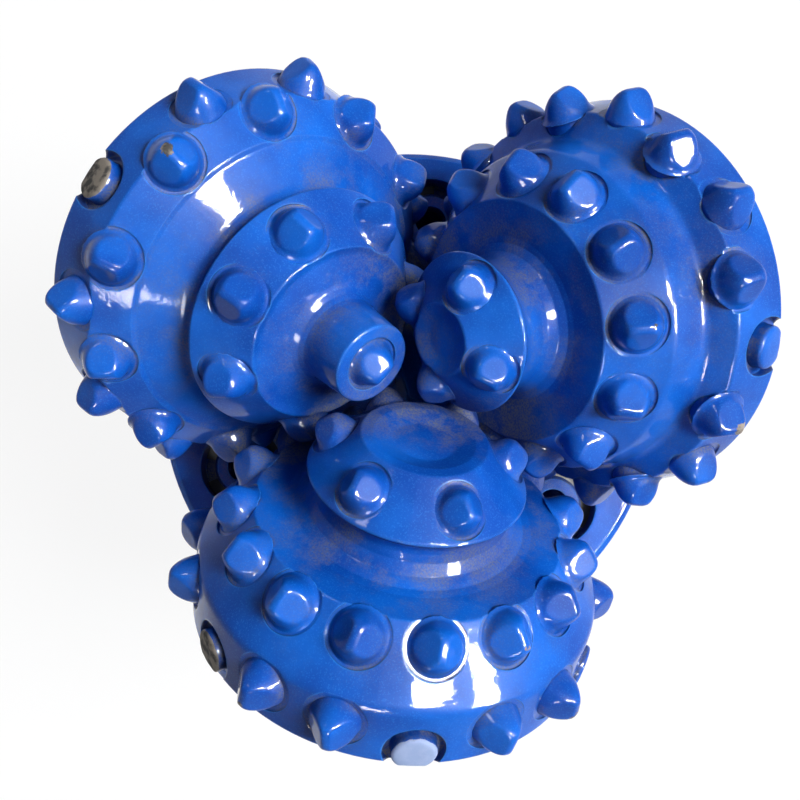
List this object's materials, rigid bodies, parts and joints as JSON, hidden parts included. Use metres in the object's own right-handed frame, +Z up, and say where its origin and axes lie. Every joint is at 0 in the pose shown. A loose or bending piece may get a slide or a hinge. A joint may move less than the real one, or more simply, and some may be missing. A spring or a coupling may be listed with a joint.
{
  "type": "tricone drill bit",
  "caption": "Rotary drill bit with rolling cones set with carbide inserts on legs that meet in a threaded pin, painted blue.",
  "frame": {"origin": "centre of the pin's end face, on the bit axis and on the plane that the bit stands on", "axes": "+Z up along the bit axis, from the pin to the cones; cone c points along -Y"},
  "size_m": [0.2116, 0.202, 0.3057],
  "materials": {
    "leg_enamel": "glossy blue enamel over forged steel",
    "cone_enamel": "glossy blue enamel over turned steel",
    "insert_enamel": "glossy blue enamel over tungsten carbide, worn through at some crests",
    "carbide": "ground tungsten carbide",
    "steel": "plain machined steel",
    "bronze": "bearing bronze",
    "rubber": "moulded nitrile rubber"
  },
  "bodies": {
    "bit_body": {"leg_a": "leg_enamel", "thrust_washer_a": "bronze", "ball_plug_a": "steel", "reservoir_cup_a": "steel", "diaphragm_a": "rubber", "reservoir_cap_a": "leg_enamel", "snap_ring_a": "steel", "nozzle_a": "carbide", "shirttail_buttons_a": "carbide", "leg_b": "leg_enamel", "thrust_washer_b": "bronze", "ball_plug_b": "steel", "reservoir_cup_b": "steel", "diaphragm_b": "rubber", "reservoir_cap_b": "leg_enamel", "snap_ring_b": "steel", "nozzle_b": "carbide", "shirttail_buttons_b": "carbide", "leg_c": "leg_enamel", "thrust_washer_c": "bronze", "ball_plug_c": "steel", "reservoir_cup_c": "steel", "diaphragm_c": "rubber", "reservoir_cap_c": "leg_enamel", "snap_ring_c": "steel", "nozzle_c": "carbide", "shirttail_buttons_c": "carbide", "nozzle_seals": "rubber", "nozzle_rings": "steel"},
    "rolling_cone_a": {"cone_a": "cone_enamel", "gage_inserts_a": "insert_enamel", "outer_inserts_a": "insert_enamel", "second_inserts_a": "insert_enamel", "third_inserts_a": "insert_enamel", "nose_insert_a": "insert_enamel", "journal_bush_a": "bronze", "pilot_bush_a": "bronze", "cone_seal_a": "rubber"},
    "ball_train_a": {"ball_set_a": "steel"},
    "rolling_cone_b": {"cone_b": "cone_enamel", "gage_inserts_b": "insert_enamel", "outer_inserts_b": "insert_enamel", "step_inserts_b": "insert_enamel", "main_inserts_b": "insert_enamel", "nose_inserts_b": "insert_enamel", "journal_bush_b": "bronze", "pilot_bush_b": "bronze", "cone_seal_b": "rubber"},
    "ball_train_b": {"ball_set_b": "steel"},
    "rolling_cone_c": {"cone_c": "cone_enamel", "gage_inserts_c": "insert_enamel", "outer_inserts_c": "insert_enamel", "main_inserts_c": "insert_enamel", "nose_inserts_c": "insert_enamel", "journal_bush_c": "bronze", "pilot_bush_c": "bronze", "cone_seal_c": "rubber"},
    "ball_train_c": {"ball_set_c": "steel"}
  },
  "joints": [
    {"name": "cone_a_spin", "type": "hinge", "parent": "bit_body", "child": "rolling_cone_a", "pos_m": [-0.00317, -0.0055, 0.29], "axis": [0.7006, -0.4045, 0.5878], "continuous": true},
    {"name": "balls_a_orbit", "type": "hinge", "parent": "bit_body", "child": "ball_train_a", "pos_m": [-0.00317, -0.0055, 0.29], "axis": [0.7006, -0.4045, 0.5878], "continuous": true},
    {"name": "cone_b_spin", "type": "hinge", "parent": "bit_body", "child": "rolling_cone_b", "pos_m": [-0.00317, 0.0055, 0.29], "axis": [-0.7006, -0.4045, 0.5878], "continuous": true},
    {"name": "balls_b_orbit", "type": "hinge", "parent": "bit_body", "child": "ball_train_b", "pos_m": [-0.00317, 0.0055, 0.29], "axis": [-0.7006, -0.4045, 0.5878], "continuous": true},
    {"name": "cone_c_spin", "type": "hinge", "parent": "bit_body", "child": "rolling_cone_c", "pos_m": [0.00635, 0, 0.29], "axis": [0, 0.809, 0.5878], "continuous": true},
    {"name": "balls_c_orbit", "type": "hinge", "parent": "bit_body", "child": "ball_train_c", "pos_m": [0.00635, 0, 0.29], "axis": [0, 0.809, 0.5878], "continuous": true}
  ],
  "couplings": [
    {"joint": "balls_a_orbit", "follows": "cone_a_spin", "ratio": 0.64111},
    {"joint": "balls_b_orbit", "follows": "cone_b_spin", "ratio": 0.64111},
    {"joint": "balls_c_orbit", "follows": "cone_c_spin", "ratio": 0.64111}
  ]
}
